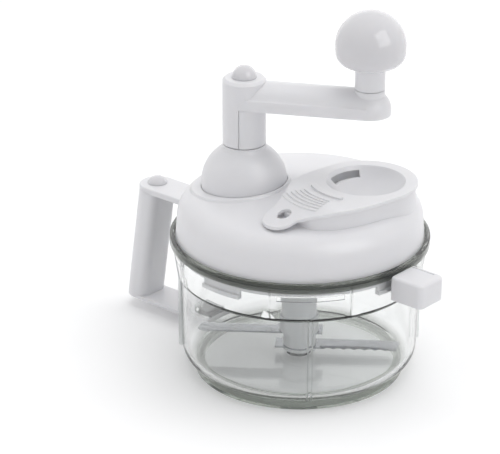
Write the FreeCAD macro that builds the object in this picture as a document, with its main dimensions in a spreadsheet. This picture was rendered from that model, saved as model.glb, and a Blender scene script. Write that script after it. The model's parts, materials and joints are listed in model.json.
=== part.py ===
import FreeCAD, Part
import Sketcher
import math
import os
import re
from FreeCAD import Placement, Rotation, Vector

# A hand-cranked food chopper: a clear bowl with a D handle, a lid that holds a
# two-gear drive, a crank with a ball knob, a blade unit on a centre pin, and a
# lift-out separator over the lid's feed opening.
#
# Frame: millimetres, +Z up, origin at the middle of the bowl's foot on the table.
# The D handle is on -X and the side lug on +X.  The pieces carried by the lid
# are drawn in the lid's own frame, whose crank axis lies on its -X, and are
# turned by lid_turn about Z.

# A number is set by itself; a text is worked out from the sizes before it.
SIZES = [
    ("# fits", None),
    ("run_gap", 0.05), ("slip_gap", 0.03), ("seat_gap", 0.3), ("drop_gap", 0.4),
    ("# bowl", None),
    ("rim_radius", 93.0), ("rim_top", 104.0), ("rim_depth", 6.5), ("rim_round", 1.2), ("rim_lip", 1.8),
    ("neck_radius", "rim_radius - rim_lip"), ("neck_lean", 3.3), ("neck_tall", 29.0),
    ("step_radius", "neck_radius - neck_lean"), ("step_height", "rim_top - neck_tall"), ("step_wide", 2.3),
    ("wall_radius", "step_radius - step_wide"), ("wall_thick", 2.6), ("foot_inset", 10.1),
    ("foot_radius", "wall_radius - foot_inset"), ("foot_height", 6.3), ("foot_wide", 6.0),
    ("corner_tall", 13.9), ("corner_height", "foot_height + corner_tall"), ("corner_radius", 15.0),
    ("floor_rise", 2.3), ("floor_height", "foot_height + floor_rise"), ("floor_thick", 3.4),
    ("seat_depth", 4.0), ("seat_wide", 3.2), ("seat_radius", "rim_radius - seat_wide"),
    ("seat_height", "rim_top - seat_depth"),
    ("rib_wide", 3.2), ("rib_stand", 1.8), ("rib_angle", 45.0), ("rib_drop", 3.2),
    ("rib_low", "corner_height - rib_drop"), ("panel_rib", 0.9), ("panel_half_angle", 18.5),
    ("ledge_drop", 7.0), ("ledge_tall", 3.6), ("ledge_height", "seat_height - ledge_drop - ledge_tall"),
    ("ledge_stand", 3.5), ("ledge_reach", "neck_radius - wall_thick - 0.4 - ledge_stand"),
    ("ledge_half_angle", 15.5),
    ("boss_radius", 9.0), ("boss_tall", 3.4), ("boss_height", "floor_height + boss_tall"),
    ("pin_radius", 4.0), ("pin_stand", 20.0), ("pin_top_z", "boss_height + pin_stand"),
    ("# handle", None),
    ("grip_wide", 27.0), ("grip_inner", 9.7), ("grip_ease", 7.0), ("grip_out", 45.8), ("grip_lean", 13.5),
    ("grip_top_x", "rim_radius + grip_out"), ("grip_foot_x", "grip_top_x + grip_lean"),
    ("bracket_drop", 5.2), ("bracket_low", "rim_top - bracket_drop"), ("bracket_thick", 4.4),
    ("foot_plate_low", 8.5), ("foot_plate_thick", 3.0),
    ("tab_wide", 20.0), ("tab_out", 13.0), ("tab_reach", "rim_radius + tab_out"), ("tab_thick", 5.0),
    ("low_tab_out", 17.4), ("low_tab_reach", "wall_radius + low_tab_out"),
    ("bolt_radius", 2.5), ("cap_radius", 7.2), ("cap_rise", 5.4),
    ("screw_radius", 1.6), ("screw_head", 3.4), ("screw_head_tall", 2.0),
    ("# side lug", None),
    ("lug_long", 26.0), ("lug_wide", 26.0), ("lug_drop", 21.4), ("lug_tall", 18.0), ("lug_round", 4.0),
    ("lug_groove", 0.9), ("lug_near", "rim_radius + seat_gap"), ("lug_far", "lug_near + lug_long"),
    ("lug_low", "rim_top - lug_drop"),
    ("lug_tab_wide", 16.0), ("lug_tab_out", 13.5), ("lug_tab_reach", "lug_near + lug_tab_out"),
    ("lug_tab_thick", 7.0), ("lug_tab_low", "lug_low + 3"),
    ("# lid", None),
    ("lid_turn", 29.0), ("lid_gap", 0.6), ("lid_radius", "seat_radius - lid_gap"),
    ("lid_low", "seat_height + 0.2"), ("lid_thick", 2.6), ("skirt_lean", 1.7),
    ("shoulder_radius", "lid_radius - skirt_lean"), ("skirt_tall", 18.8),
    ("shoulder_low", "lid_low + skirt_tall"), ("shoulder_round", 16.6), ("shoulder_wide", 13.5),
    ("shoulder_tall", 14.8), ("crown_edge", "shoulder_radius - shoulder_wide"),
    ("crown_edge_z", "shoulder_low + shoulder_tall"), ("crown_rise", 6.8),
    ("crown_top", "crown_edge_z + crown_rise"), ("crown_curve", 400.0),
    ("plug_gap", 0.6), ("plug_radius", "ledge_reach - plug_gap"), ("plug_tall", 8.2),
    ("plug_low", "lid_low - plug_tall"), ("plug_thick", 2.2),
    ("bayonet_gap", 0.8), ("bayonet_tall", 3.0), ("bayonet_low", "ledge_height - bayonet_gap - bayonet_tall"),
    ("bayonet_hook", 1.3), ("bayonet_reach", "ledge_reach + bayonet_hook"), ("bayonet_half_angle", 11.0),
    ("# gear drive", None),
    ("gear_module", 1.5), ("drive_teeth", 36.0), ("pinion_teeth", 18.0), ("tooth_slack", 0.12),
    ("gear_tall", 8.0), ("gear_room", 1.5), ("chamber_wall", 2.2),
    ("cover_rise", 12.6), ("cover_low", "lid_low + cover_rise"), ("cover_thick", 2.6),
    ("bush_wall", 2.6), ("bush_flange", 2.0), ("gear_low", "cover_low + cover_thick + bush_flange + 1.1"),
    ("ceiling_low", "gear_low + gear_tall + 2 * gear_room"), ("ceiling_thick", 3.0),
    ("shaft_radius", 4.0), ("shaft_flat", 3.2), ("shaft_low", "cover_low - 3.3"),
    ("journal_radius", 7.0), ("top_journal", 3.5), ("journal_top", "ceiling_low + ceiling_thick + 4"),
    ("hex_flats", 12.0), ("hex_slack", 0.3), ("screw_post", 3.6),
    ("# bearing dome", None),
    ("dome_radius", 30.6), ("dome_thick", 2.6), ("dome_low", "ceiling_low + ceiling_thick + 0.1"),
    ("dome_wall", 8.4), ("dome_shoulder", "dome_low + dome_wall"), ("dome_curve", 29.0), ("dome_neck", 15.6),
    ("dome_tall", 24.4), ("dome_neck_z", "dome_shoulder + dome_tall"), ("dome_top", "dome_neck_z + 3.2"),
    ("dome_screw_inset", 8.6), ("collar_wide", 8.0),
    ("collar_radius", "dome_radius + collar_wide"), ("collar_rise", 1.5),
    ("dome_tube", 9.8),
    ("# crank", None),
    ("post_radius", 15.2), ("post_low", "dome_top + 0.6"), ("post_tall", 28.7), ("post_core", 11.0),
    ("shell_cut", 0.9), ("arm_low", "post_low + post_tall"), ("arm_length", 89.0), ("arm_half", 15.2),
    ("arm_side", 3.4), ("arm_crown", 17.4), ("head_radius", "post_radius + 0.2"), ("head_tall", 19.9),
    ("head_top", "arm_low + head_tall"), ("head_chamfer", 1.8), ("socket_top", "arm_low + 8.5"),
    ("shaft_top", "socket_top - 0.4"), ("cap_seat", 6.1), ("cap_dome", 8.6),
    ("crank_screw_low", "shaft_top - 14"), ("counterbore_low", "socket_top + 3.2"),
    ("# knob", None),
    ("knob_boss_top", "arm_low + arm_crown + 0.9"), ("stem_radius", 10.5), ("stem_low", "knob_boss_top + 0.4"),
    ("stem_tall", 16.2), ("stem_shoulder", "stem_low + stem_tall"), ("spigot_radius", 8.0), ("spigot_tall", 13.2),
    ("spigot_top", "stem_shoulder + spigot_tall"), ("ball_radius", 24.6), ("ball_under", 15.6),
    ("ball_sink", 0.6), ("ball_centre", "stem_shoulder + ball_under - ball_sink"), ("ball_thick", 2.8),
    ("spindle_radius", 3.0), ("spindle_top", "spigot_top - 4"),
    ("# blade unit", None),
    ("hub_low", "boss_height + seat_gap"), ("hub_base_radius", 12.0), ("hub_base_tall", 2.1), ("hub_tube", 7.8),
    ("low_blade_z", "hub_low + hub_base_tall"), ("blade_thick", 1.2), ("spacer_tall", 10.4),
    ("high_blade_z", "low_blade_z + blade_thick + spacer_tall"), ("blade_clear", 9.4),
    ("blade_reach", "wall_radius - wall_thick - blade_clear"), ("blade_wide", 14.4),
    ("tooth_pitch", 7.5), ("tooth_bite", 4.3), ("blade_tail", 17.2), ("blade_angle", 217.0),
    ("spacer_radius", 11.4), ("skirt_radius", 14.3), ("skirt_height", "high_blade_z + 14"),
    ("sleeve_radius", 12.6), ("sleeve_bore", 9.6), ("sleeve_top", "cover_low - 20.8"),
    ("socket_tall", 21.0), ("socket_low", "sleeve_top - socket_tall"), ("hex_low", "socket_low + 3"),
    ("# separator and its raised seat on the lid", None),
    ("cup_x", 47.3), ("cup_y", -2.2), ("cup_radius", 28.2), ("cup_wall", 1.8), ("cup_depth", 14.5),
    ("flange_wide", 8.4), ("flange_radius", "cup_radius + flange_wide"), ("seat_inset", 1.4),
    ("seat_rise", 5.1), ("seat_top", "crown_top + seat_rise"), ("plate_thick", 2.5), ("seat_wall", 2.6),
    ("tab_angle", 230.0), ("tab_distance", 73.5), ("tab_radius", 12.9), ("tab_drop", 7.8),
    ("tab_top", "seat_top - tab_drop"), ("hole_radius", 5.0), ("ramp_back", 23.5),
    ("ramp_start", "tab_distance - ramp_back"), ("ramp_long", 42.0), ("ramp_end", "ramp_start + ramp_long"),
    ("seat_back", 3.7), ("seat_end", "tab_distance - seat_back"), ("seat_curve", 49.0),
    ("slot_low", 3.0), ("slot_tall", 4.2), ("slot_angle", 141.0), ("slot_half_angle", 31.0),
    ("bar_gap", 8.1), ("bar_wide", 4.0), ("bar_rise", 1.4), ("bar_half_angle", 25.0),
    ("rib_gap", 17.3), ("thumb_rib", 1.5), ("thumb_rise", 0.8), ("thumb_pitch", 3.3), ("thumb_count", 6.0),
    ("thumb_half_angle", 17.0),
]

doc = FreeCAD.newDocument("crank_food_chopper")
sheet = doc.addObject("Spreadsheet::Sheet", "Sizes")
NAMES = set()
for row, (alias, size) in enumerate(SIZES, start=1):
    sheet.set("A%d" % row, alias)
    if size is not None:
        sheet.set("B%d" % row, "=" + size if isinstance(size, str) else str(size))
        sheet.setAlias("B%d" % row, alias)
        NAMES.add(alias)
doc.recompute()

NODES = []


# ---------------------------------------------------------------- helpers

def bound(text):
    """An expression with every size name pointed at the sheet."""
    return re.sub(r"[a-z_]\w*", lambda m: "Sizes." + m[0] if m[0] in NAMES else m[0], str(text))


def value(text):
    return float(sheet.evalExpression(bound(text)))


def place(obj, at=("0", "0", "0"), turn=None, axis=Vector(0, 0, 1)):
    """Puts an object at a bound place, turned by a bound angle about its axis."""
    obj.Placement = Placement(Vector(*[value(c) for c in at]), Rotation(axis, 1 if turn else 0))
    for name, text in zip("xyz", at):
        if text != "0":
            obj.setExpression("Placement.Base." + name, bound(text))
    if turn:
        obj.setExpression("Placement.Rotation.Angle", bound(turn))
    return obj


def primitive(kind, name, at=("0", "0", "0"), turn=None, **sizes):
    obj = doc.addObject("Part::" + kind, name)
    for key, text in sizes.items():
        obj.setExpression(key, bound(text))
    return place(obj, at, turn)


def disc(name, radius, low, high, x="0", y="0"):
    return primitive("Cylinder", name, (x, y, low), Radius=radius, Height="(%s) - (%s)" % (high, low))


def block(name, x0, x1, half_wide, low, high, turn=None):
    """A box from x0 to x1, centred on Y, turned about Z through the origin."""
    box = primitive("Box", name, (x0, "-(%s)" % half_wide, low), Length="(%s) - (%s)" % (x1, x0),
                    Width="2 * (%s)" % half_wide, Height="(%s) - (%s)" % (high, low))
    return box if turn is None else place(join(name + "_turned", box), turn=turn)


def join(name, *shapes):
    obj = doc.addObject("Part::MultiFuse" if len(shapes) > 1 else "Part::Compound", name)
    if len(shapes) > 1:
        obj.Shapes = list(shapes)
    else:
        obj.Links = list(shapes)
    return obj


def common(name, *shapes):
    obj = doc.addObject("Part::MultiCommon", name)
    obj.Shapes = list(shapes)
    return obj


def cut(name, base, *tools):
    obj = doc.addObject("Part::Cut", name)
    obj.Base = base
    obj.Tool = tools[0] if len(tools) == 1 else join(name + "_tools", *tools)
    return obj


def made(name, shape, turn=None):
    """A piece whose form needs Part's own functions."""
    obj = doc.addObject("Part::Feature", name)
    obj.Shape = shape
    return place(obj, turn=turn) if turn else obj


def node(obj, name, lid=False):
    """Names a finished sub-part; pieces carried by the lid turn with it."""
    obj.Label = name
    if lid:
        place(obj, turn="lid_turn")
    NODES.append((name, obj))
    return obj


def origin_plane(body, role):
    return [f for f in body.Origin.OriginFeatures if f.Role == role][0]


def outline(sketch, corners, arcs=None):
    """Closed outline through bound corners; arcs gives a side's bound radius and bulge side."""
    arcs = arcs or {}
    spots = [Vector(value(x), value(y), 0) for x, y in corners]
    count = len(spots)
    starts = []
    for i, p in enumerate(spots):
        q = spots[(i + 1) % count]
        if i in arcs:
            text, side = arcs[i]
            radius = value(text)
            middle = (p + q) * 0.5
            across = Vector(-(q - p).y, (q - p).x, 0).normalize() * side
            sag = radius - math.sqrt(radius ** 2 - ((q - p).Length / 2) ** 2)
            ends = (p, q) if side < 0 else (q, p)
            curve = sketch.addGeometry(Part.Arc(ends[0], middle + across * sag, ends[1]), False)
            first = 1 if side < 0 else 2
            index = sketch.addConstraint(Sketcher.Constraint("Radius", curve, radius))
            sketch.setExpression("Constraints[%d]" % index, bound(text))
        else:
            sketch.addGeometry(Part.LineSegment(p, q), False)
            first = 1
        starts.append(first)
    for i in range(count):
        before = (i - 1) % count
        sketch.addConstraint(Sketcher.Constraint("Coincident", before, 3 - starts[before], i, starts[i]))
        for kind, text, axis in (("DistanceX", corners[i][0], -2), ("DistanceY", corners[i][1], -1)):
            if text == "0":
                sketch.addConstraint(Sketcher.Constraint("PointOnObject", i, starts[i], axis))
                continue
            size = value(text)
            ends = (-1, 1, i, starts[i]) if size > 0 else (i, starts[i], -1, 1)
            index = sketch.addConstraint(Sketcher.Constraint(kind, *ends, abs(size)))
            sketch.setExpression("Constraints[%d]" % index, bound(text if size > 0 else "-(%s)" % text))


def new_body(name):
    return doc.addObject("PartDesign::Body", name)


def new_sketch(body, name, role):
    sketch = body.newObject("Sketcher::SketchObject", name)
    sketch.AttachmentSupport = [(origin_plane(body, role), "")]
    sketch.MapMode = "FlatFace"
    return sketch


def revolve(body, name, corners, arcs=None):
    """A solid of revolution about Z; corners are (radius, height)."""
    sketch = new_sketch(body, name + "_sketch", "XZ_Plane")
    outline(sketch, corners, arcs)
    feature = body.newObject("PartDesign::Revolution", name)
    feature.Profile = (sketch, [""])
    feature.ReferenceAxis = (sketch, ["V_Axis"])
    feature.Angle = 360
    sketch.Visibility = False
    return feature


def turned(name, corners, arcs=None):
    """A body made by one revolution."""
    body = new_body(name)
    revolve(body, name + "_turning", corners, arcs)
    return body


def prism(points, low, high):
    wire = Part.makePolygon([Vector(x, y, low) for x, y in points + points[:1]])
    return Part.Face(wire).extrude(Vector(0, 0, high - low))


def around(shape, count, first=0.0):
    """Copies of a shape at even angles about Z."""
    copies = []
    for i in range(count):
        copy = shape.copy()
        copy.rotate(Vector(0, 0, 0), Vector(0, 0, 1), first + 360.0 * i / count)
        copies.append(copy)
    return copies


def screw_at(x, y, head_low, top, head_up=False):
    """A pan-head screw, its head below (or above) its shank."""
    radius, head, tall = value("screw_radius"), value("screw_head"), value("screw_head_tall")
    if head_up:
        shank = Part.makeCylinder(radius, head_low - top, Vector(x, y, top))
    else:
        shank = Part.makeCylinder(radius, top - head_low - tall, Vector(x, y, head_low + tall))
    cap = Part.makeCylinder(head, tall, Vector(x, y, head_low))
    edges = [e for e in cap.Edges if abs(e.BoundBox.ZLength) < 1e-6
             and abs(e.BoundBox.ZMin - (head_low + tall if head_up else head_low)) < 1e-6]
    return cap.makeChamfer(0.6, edges).fuse(shank).removeSplitter()


# ---------------------------------------------------------------- bowl side

def bowl():
    """Clear bowl: foot ring, floor, wall with a step, thick rim, ribs, ledges and tabs."""
    body = new_body("bowl_shell")
    revolve(body, "bowl_turning", [
        ("0", "boss_height"), ("boss_radius", "boss_height"), ("boss_radius", "floor_height"),
        ("foot_radius - foot_wide", "floor_height"), ("wall_radius - wall_thick - 1.1", "corner_height + 0.8"),
        ("wall_radius - wall_thick", "step_height - 1.5"),
        ("step_radius - wall_thick", "step_height + 0.5"),
        ("neck_radius - wall_thick - 0.4", "rim_top - rim_depth - 1"),
        ("neck_radius - wall_thick - 0.4", "seat_height"), ("seat_radius", "seat_height"),
        ("seat_radius", "rim_top"), ("rim_radius - rim_round", "rim_top"),
        ("rim_radius", "rim_top - rim_round"), ("rim_radius", "rim_top - rim_depth + rim_round"),
        ("rim_radius - rim_round", "rim_top - rim_depth"), ("neck_radius", "rim_top - rim_depth - 0.6"),
        ("step_radius", "step_height"), ("wall_radius + 0.3", "step_height - 2.2"),
        ("wall_radius - 0.6", "corner_height"), ("foot_radius", "foot_height"), ("foot_radius", "0"),
        ("foot_radius - foot_wide", "0"), ("foot_radius - foot_wide", "floor_height - floor_thick"),
        ("0", "floor_height - floor_thick")],
        {3: ("corner_radius - wall_thick", -1), 11: ("rim_round", 1), 13: ("rim_round", 1),
         18: ("corner_radius", 1)})
    outside = disc("beyond_wall", "wall_radius + rib_stand", "floor_height", "step_height - 1")
    ribs, ledges = [], []
    ledge_ring = cut("ledge_ring",
                     disc("ledge_outer", "neck_radius - 2", "ledge_height", "ledge_height + ledge_tall"),
                     disc("ledge_inner", "ledge_reach", "0", "rim_top"))
    for i in range(4):
        turn = "rib_angle + %d" % (90 * i)
        ribs.append(block("rib_%d" % i, "foot_radius - 1", "wall_radius + rib_stand + 5", "rib_wide / 2",
                          "rib_low", "step_height - 1", turn))
        for side in (-1, 1):
            ribs.append(block("panel_rib_%d_%d" % (i, side + 1), "step_radius - 1.4", "neck_radius + 0.6",
                              "panel_rib / 2", "step_height + 0.2", "rim_top - rim_depth",
                              turn + " + %d * panel_half_angle" % side))
        wedge = primitive("Cylinder", "ledge_wedge_%d" % i, Radius="rim_radius", Height="rim_top",
                          Angle="2 * ledge_half_angle")
        place(wedge, turn=turn + " - ledge_half_angle")
        ledges.append(wedge)
    upper = common("panel_rib_trim", join("panel_ribs", *[r for r in ribs if "panel" in r.Name]),
                   cone_shell("panel_skin", "step_radius + 0.5", "neck_radius + 0.5", "step_height",
                              "rim_top - rim_depth"))
    lower = common("rib_trim", join("wall_ribs", *[r for r in ribs if "panel" not in r.Name]), outside)
    lower = cut("rib_clear", lower, disc("rib_inside", "wall_radius - wall_thick / 2 - 0.6", "floor_height - 1",
                                         "step_height"))
    bars = common("ledge_bars", ledge_ring, join("ledge_wedges", *ledges))
    high_tab = block("handle_tab", "-tab_reach", "-(neck_radius - 2)", "tab_wide / 2",
                     "bracket_low - tab_thick", "bracket_low")
    low_tab = block("handle_low_tab", "-low_tab_reach", "-(wall_radius - 4.4)", "tab_wide / 2",
                    "foot_plate_low + foot_plate_thick", "foot_plate_low + foot_plate_thick + tab_thick")
    lug_tab = block("lug_tab", "step_radius + 0.3", "lug_tab_reach", "lug_tab_wide / 2",
                    "lug_tab_low", "lug_tab_low + lug_tab_thick")
    whole = join("bowl_joined", body, lower, upper, bars, high_tab, low_tab, lug_tab)
    holes = [disc("pin_hole", "pin_radius", "floor_height - 2.4", "boss_height + 1"),
             disc("lug_screw_hole", "screw_radius", "lug_tab_low - 1", "lug_tab_low + 5.4", "lug_tab_reach - 6")]
    for i, side in enumerate((-1, 1)):
        y = "%d * tab_wide / 4" % side
        holes.append(disc("tab_hole_%d" % i, "screw_radius", "bracket_low - tab_thick - 1",
                          "bracket_low + 0.5", "-(tab_reach - 6)", y))
        holes.append(disc("low_tab_hole_%d" % i, "screw_radius", "foot_plate_low",
                          "foot_plate_low + foot_plate_thick + 4", "-(low_tab_reach - 6)", y))
    node(cut("bowl_cut", whole, *holes), "bowl")


def cone_shell(name, low_radius, high_radius, low, high):
    """A solid cone frustum used to trim ribs to the sloping wall."""
    return primitive("Cone", name, ("0", "0", low), Radius1=low_radius, Radius2=high_radius,
                     Height="(%s) - (%s)" % (high, low))


def centre_pin():
    """Steel pin pressed in the floor boss, with a chamfered nose."""
    pin = turned("centre_pin_body", [
        ("0", "floor_height - 2.4"), ("pin_radius", "floor_height - 2.4"), ("pin_radius", "pin_top_z - 1"),
        ("pin_radius - 1", "pin_top_z"), ("0", "pin_top_z")])
    node(pin, "centre_pin")


def corner_centre():
    """Centre of the bowl's outer corner round: its distance from the axis and its height."""
    low = Vector(value("foot_radius"), value("foot_height"), 0)
    high = Vector(value("wall_radius") - 0.6, value("corner_height"), 0)
    along = (high - low).normalize()
    back = math.sqrt(value("corner_radius") ** 2 - ((high - low).Length / 2) ** 2)
    centre = (low + high) * 0.5 + Vector(-along.y, along.x, 0) * back
    return centre.x, centre.y


def d_section(x, low, inner):
    """Outline of the handle: half round outside, flat towards the bowl, corners eased."""
    half, ease = value("grip_wide") / 2, value("grip_ease")
    a = Part.Arc(Vector(-x, half, low), Vector(-x - half, 0, low), Vector(-x, -half, low)).toShape()
    points = [Vector(-x, -half, low), Vector(-x + inner - ease, -half, low)]
    c1 = Part.Arc(points[1], Vector(-x + inner - ease * 0.293, -half + ease * 0.293, low),
                  Vector(-x + inner, -half + ease, low)).toShape()
    c2 = Part.Arc(Vector(-x + inner, half - ease, low),
                  Vector(-x + inner - ease * 0.293, half - ease * 0.293, low),
                  Vector(-x + inner - ease, half, low)).toShape()
    edges = [a, Part.makeLine(points[0], points[1]), c1,
             Part.makeLine(Vector(-x + inner, -half + ease, low), Vector(-x + inner, half - ease, low)), c2,
             Part.makeLine(Vector(-x + inner - ease, half, low), Vector(-x, half, low))]
    return Part.Wire(edges)


def handle():
    """D handle in two mouldings: a top bracket, and a grip with its foot plate."""
    low, thick = value("bracket_low"), value("bracket_thick")
    half = value("grip_wide") / 2
    top_x, foot_x = value("grip_top_x"), value("grip_foot_x")
    rim = value("rim_radius") + value("seat_gap")
    bolt = value("bolt_radius")
    plate = Part.makeBox(top_x - rim + 12, 2 * half, thick, Vector(-top_x, -half, low))
    plate = plate.fuse(Part.makeCylinder(half, thick, Vector(-top_x, 0, low))).removeSplitter()
    top_edges = [e for e in plate.Edges if e.BoundBox.ZMin > low + thick - 1e-3]
    plate = plate.makeFillet(1.2, top_edges)
    plate = plate.cut(Part.makeCylinder(rim, 40, Vector(0, 0, low - 20)))
    spigot = Part.makeCylinder(5.5, 6, Vector(-top_x, 0, low - 6))
    plate = plate.fuse(spigot).cut(Part.makeCylinder(bolt + 0.1, 40, Vector(-top_x, 0, low - 20)))
    plate = plate.cut(Part.makeCylinder(value("cap_radius") - 1.5, 1.2, Vector(-top_x, 0, low + thick - 1.2)))
    for side in (-1, 1):
        spot = Vector(-(value("tab_reach") - 6), side * value("tab_wide") / 4, low - 1)
        plate = plate.cut(Part.makeCylinder(value("screw_radius"), 4, spot))
    node(made("handle_bracket", plate), "handle_bracket")

    foot_low, foot_thick = value("foot_plate_low"), value("foot_plate_thick")
    foot_top = foot_low + foot_thick
    inner = value("grip_inner")
    post = Part.makeLoft([d_section(foot_x, foot_top, inner), d_section(top_x, low, inner)], True, True)
    base = Part.makeBox(foot_x - value("foot_radius"), 2 * half, foot_thick, Vector(-foot_x, -half, foot_low))
    base = base.fuse(Part.makeCylinder(half, foot_thick, Vector(-foot_x, 0, foot_low))).removeSplitter()
    base = base.makeFillet(1.0, [e for e in base.Edges if e.BoundBox.ZMax < foot_low + 1e-3])
    round_x, round_z = corner_centre()
    base = base.cut(Part.makeTorus(round_x, value("corner_radius") + value("seat_gap"), Vector(0, 0, round_z)))
    base = base.cut(Part.makeCylinder(round_x, 40, Vector(0, 0, 0)))
    grip = post.fuse(base).removeSplitter()
    grip = grip.cut(Part.makeCylinder(5.5 + value("slip_gap"), 20, Vector(-top_x, 0, low - 6 - value("slip_gap"))))
    grip = grip.cut(Part.makeCylinder(bolt, 30, Vector(-top_x, 0, low - 26)))
    for side in (-1, 1):
        spot = Vector(-(value("low_tab_reach") - 6), side * value("tab_wide") / 4, foot_low - 1)
        grip = grip.cut(Part.makeCylinder(value("screw_radius"), 12, spot))
    node(made("handle_grip", grip), "handle_grip")

    seat = low + thick - 1.2
    shank = Part.makeCylinder(bolt, 27, Vector(-top_x, 0, seat - 27))
    head = Part.makeCylinder(value("cap_radius") - 2.6, 1.1, Vector(-top_x, 0, seat))
    node(made("handle_bolt", head.fuse(shank).removeSplitter()), "handle_bolt")
    screws = []
    for side in (-1, 1):
        y = side * value("tab_wide") / 4
        tall = value("screw_head_tall")
        screws.append(screw_at(-(value("tab_reach") - 6), y, low - value("tab_thick") - tall, low + 2.8))
        screws.append(screw_at(-(value("low_tab_reach") - 6), y, foot_low - tall, foot_top + 3.8))
    node(made("handle_screws", Part.makeCompound(screws)), "handle_screws")


def handle_cap():
    """Domed cap that hides the bolt's head on top of the handle."""
    cap = turned("handle_cap_body", [
        ("0", "bracket_low + bracket_thick"), ("cap_radius", "bracket_low + bracket_thick"),
        ("cap_radius", "bracket_low + bracket_thick + 0.8"),
        ("0.5", "bracket_low + bracket_thick + cap_rise"),
        ("0", "bracket_low + bracket_thick + cap_rise")],
        {2: ("(cap_radius ^ 2 + (cap_rise - 0.8) ^ 2) / (2 * (cap_rise - 0.8))", -1)})
    place(cap, ("-grip_top_x", "0", "0"))
    node(cap, "handle_cap")


def side_lug():
    """Hollow rounded lug that slips over the bowl's tab."""
    near, far = value("lug_near"), value("lug_far")
    half, low, tall = value("lug_wide") / 2, value("lug_low"), value("lug_tall")
    lug = Part.makeBox(far - near, 2 * half, tall, Vector(near, -half, low))
    outer = [e for e in lug.Edges if e.BoundBox.XMin > near + 1e-3]
    upright = [e for e in outer if e.BoundBox.ZLength > tall - 1e-3]
    lug = lug.makeFillet(value("lug_round"), upright)
    top = [e for e in lug.Edges if e.BoundBox.ZMin > low + tall - 1e-3 and e.BoundBox.XMax > near + 1e-3]
    lug = lug.makeFillet(2.2, top)
    bottom = [e for e in lug.Edges if e.BoundBox.ZMax < low + 1e-3 and e.BoundBox.XMax > near + 1e-3]
    lug = lug.makeFillet(1.2, bottom)
    groove = value("lug_groove")
    lug = lug.cut(Part.makeBox(far - near - 5, groove, groove, Vector(near - 1, half - 4, low + tall - groove)))
    gap = 0.15
    wide, thick = value("lug_tab_wide") / 2 + gap, value("lug_tab_thick") + 2 * gap
    lug = lug.cut(Part.makeBox(value("lug_tab_reach") - near + 1 + gap, 2 * wide, thick,
                               Vector(near - 1, -wide, value("lug_tab_low") - gap)))
    x = value("lug_tab_reach") - 6
    lug = lug.cut(Part.makeCylinder(value("screw_radius") + 0.1, 8, Vector(x, 0, low - 1)))
    lug = lug.cut(Part.makeCylinder(value("screw_head") + 0.3, value("screw_head_tall") + 0.2, Vector(x, 0, low)))
    node(made("side_lug", lug), "side_lug")
    screw = screw_at(x, 0, low + 0.2, value("lug_tab_low") + 5.2)
    node(made("lug_screw", screw), "lug_screw")


# ---------------------------------------------------------------- gears

def gear_points(teeth, phase):
    """Involute outline of a spur gear; a tooth is centred on the phase angle."""
    module = value("gear_module")
    pitch, pressure = module * teeth / 2, math.radians(20)
    base, tip, root = pitch * math.cos(pressure), pitch + module, pitch - 1.25 * module
    half = math.pi / (2 * teeth) - value("tooth_slack") / (2 * pitch)
    lead = math.tan(pressure) - pressure
    points = []
    for i in range(teeth):
        centre = math.radians(phase) + 2 * math.pi * i / teeth
        flank = []
        for k in range(5):
            radius = max(base, root) + (tip - max(base, root)) * k / 4.0
            roll = math.sqrt(max((radius / base) ** 2 - 1, 0))
            flank.append((radius, half + lead - (roll - math.atan(roll))))
        if root < base:
            flank.insert(0, (root, flank[0][1]))
        for radius, away in flank:
            points.append((radius * math.cos(centre - away), radius * math.sin(centre - away)))
        for radius, away in reversed(flank):
            points.append((radius * math.cos(centre + away), radius * math.sin(centre + away)))
    return points


def axis_x():
    """The crank axis stands this far on the lid's -X: the gears' centre distance."""
    return "gear_module * (drive_teeth + pinion_teeth) / 2"


def shaft_hole(low, high, x, gap):
    """The crank shaft's section: round with one flat."""
    radius, flat = value("shaft_radius") + gap, value("shaft_flat") + gap
    round_part = Part.makeCylinder(radius, high - low, Vector(x, 0, low))
    away = Part.makeBox(4 * radius, 4 * radius, high - low + 2, Vector(x + flat, -2 * radius, low - 1))
    return round_part.cut(away)


def drive_gear():
    """Large spur gear on the crank shaft, with a web and a hub."""
    x = -value(axis_x())
    low, tall = value("gear_low"), value("gear_tall")
    teeth = int(value("drive_teeth"))
    gear = prism(gear_points(teeth, 0.0), low, low + tall)
    pitch = value("gear_module") * teeth / 2
    ring = Part.makeCylinder(pitch - 5, 2.5, Vector(0, 0, low + tall - 2.5))
    ring = ring.cut(Part.makeCylinder(9, 2.5, Vector(0, 0, low + tall - 2.5)))
    under = Part.makeCylinder(pitch - 5, 2.5, Vector(0, 0, low)).cut(Part.makeCylinder(9, 2.5, Vector(0, 0, low)))
    gear = gear.cut(ring).cut(under)
    gear = gear.cut(Part.makeCompound(around(Part.makeCylinder(3.2, tall, Vector(14.5, 0, low)), 6, 30)))
    gear.translate(Vector(x, 0, 0))
    gear = gear.cut(shaft_hole(low - 1, low + tall + 1, x, value("slip_gap")))
    node(made("drive_gear", gear), "drive_gear", lid=True)


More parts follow.
